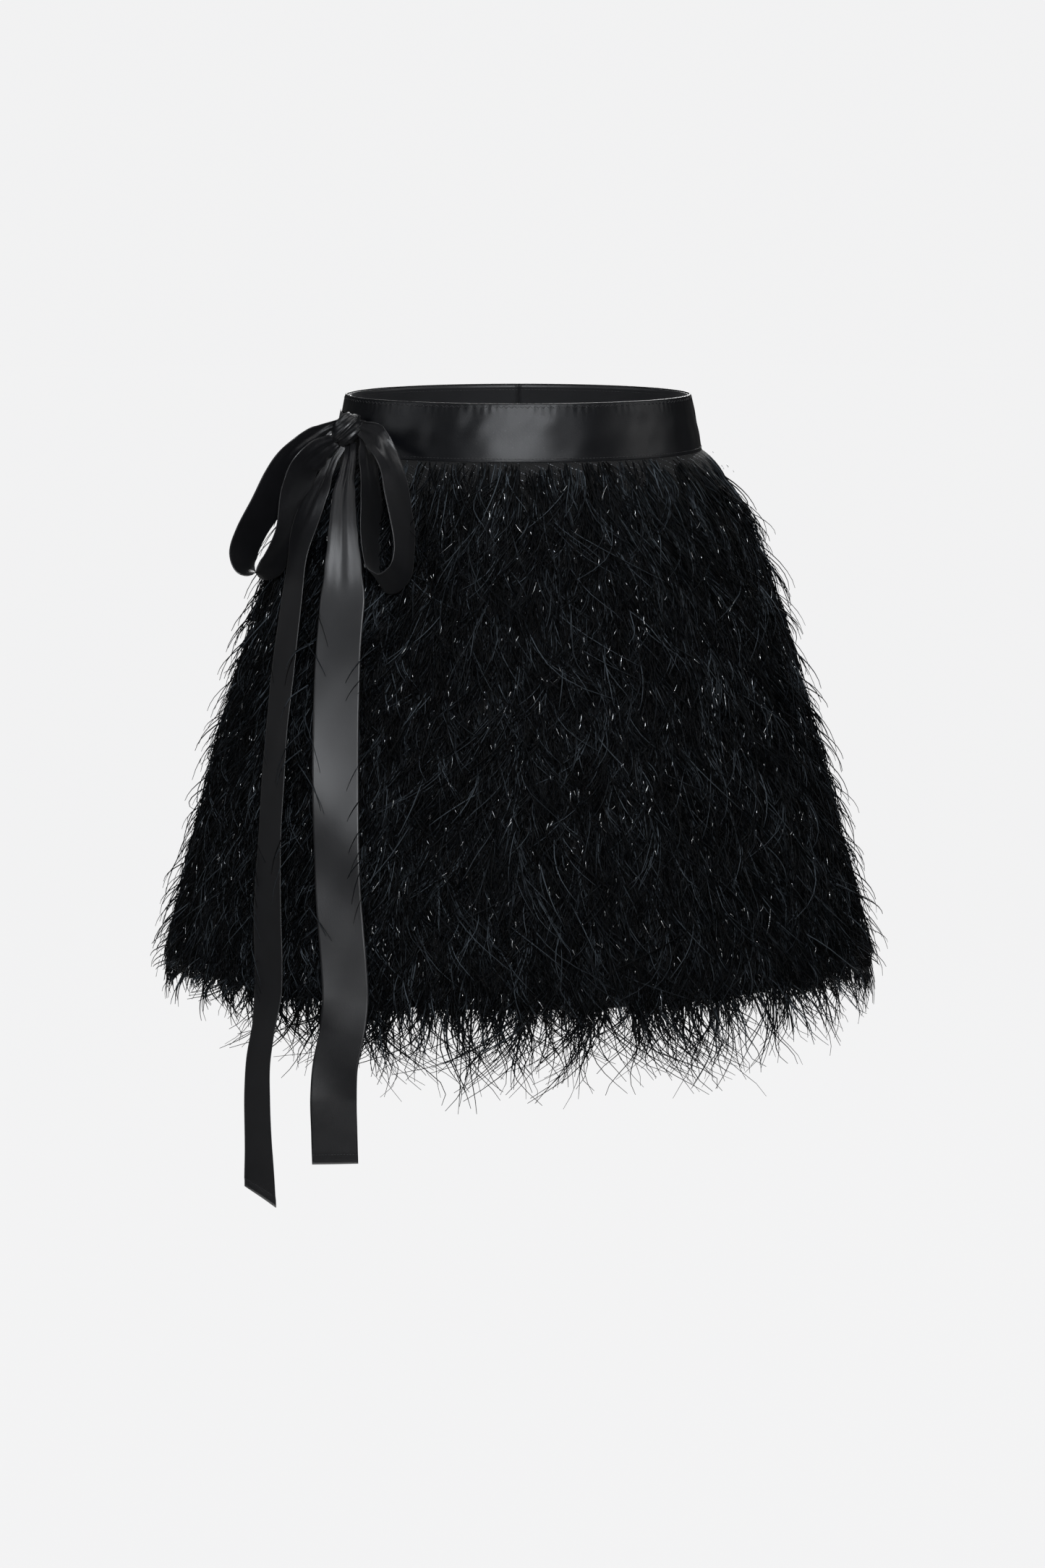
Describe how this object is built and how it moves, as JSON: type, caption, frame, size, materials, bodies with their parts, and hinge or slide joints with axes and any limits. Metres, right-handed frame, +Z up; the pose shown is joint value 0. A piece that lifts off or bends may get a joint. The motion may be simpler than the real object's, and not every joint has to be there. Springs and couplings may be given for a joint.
{
  "type": "feathered mini skirt",
  "caption": "Flared mini skirt of feathery eyelash yarn with a satin waistband tied in a side bow with long hanging ribbon ends.",
  "frame": {"origin": "centre of the waist opening, level with the waistband's top edge", "axes": "+Z up towards the wearer's head, -Y towards the wearer's front, +X towards the wearer's left"},
  "size_m": [0.5838, 0.4286, 0.58],
  "materials": {
    "band_satin": "satin weave, soft sheen",
    "ribbon_satin": "satin weave, bright folds",
    "facing_satin": "dull satin",
    "interlining": "matt nonwoven",
    "lining": "matt lining",
    "knit": "knit with a fine metallic thread",
    "yarn": "long feathery yarn with glittering threads"
  },
  "bodies": {
    "skirt": {"waistband_satin_front": "band_satin", "waistband_satin_back_left": "band_satin", "waistband_satin_back_right": "band_satin", "waistband_interlining_front": "interlining", "waistband_interlining_back_left": "interlining", "waistband_interlining_back_right": "interlining", "waistband_facing_front": "facing_satin", "waistband_facing_back_left": "facing_satin", "waistband_facing_back_right": "facing_satin", "lining_front": "lining", "lining_back_left": "lining", "lining_back_right": "lining", "base_cloth_front": "knit", "base_cloth_back_left": "knit", "base_cloth_back_right": "knit", "yarn_pile_front": "yarn", "yarn_pile_back_left": "yarn", "yarn_pile_back_right": "yarn", "hem_fringe_front": "yarn", "hem_fringe_back_left": "yarn", "hem_fringe_back_right": "yarn", "underlap_waistband": "band_satin", "underlap_skirt": "knit", "tie_strap": "ribbon_satin", "knot_core": "ribbon_satin", "knot_turn_upper": "ribbon_satin", "knot_turn_lower": "ribbon_satin"},
    "tail_left": {"ribbon_tail_left": "ribbon_satin"},
    "tail_right": {"ribbon_tail_right": "ribbon_satin"},
    "loop_left": {"bow_loop_left": "ribbon_satin"},
    "loop_right": {"bow_loop_right": "ribbon_satin"}
  },
  "joints": [
    {"name": "tail_left_swing", "type": "hinge", "parent": "skirt", "child": "tail_left", "pos_m": [-0.12642, -0.05788, -0.022], "axis": [-1, 0, 0], "range_deg": [0, 55]},
    {"name": "tail_right_swing", "type": "hinge", "parent": "skirt", "child": "tail_right", "pos_m": [-0.12642, -0.05788, -0.022], "axis": [-1, 0, 0], "range_deg": [0, 55]},
    {"name": "loop_left_lift", "type": "hinge", "parent": "skirt", "child": "loop_left", "pos_m": [-0.12642, -0.05788, -0.022], "axis": [0, 1, 0], "range_deg": [0, 50]},
    {"name": "loop_right_lift", "type": "hinge", "parent": "skirt", "child": "loop_right", "pos_m": [-0.12642, -0.05788, -0.022], "axis": [-1, 0, 0], "range_deg": [0, 50]}
  ]
}
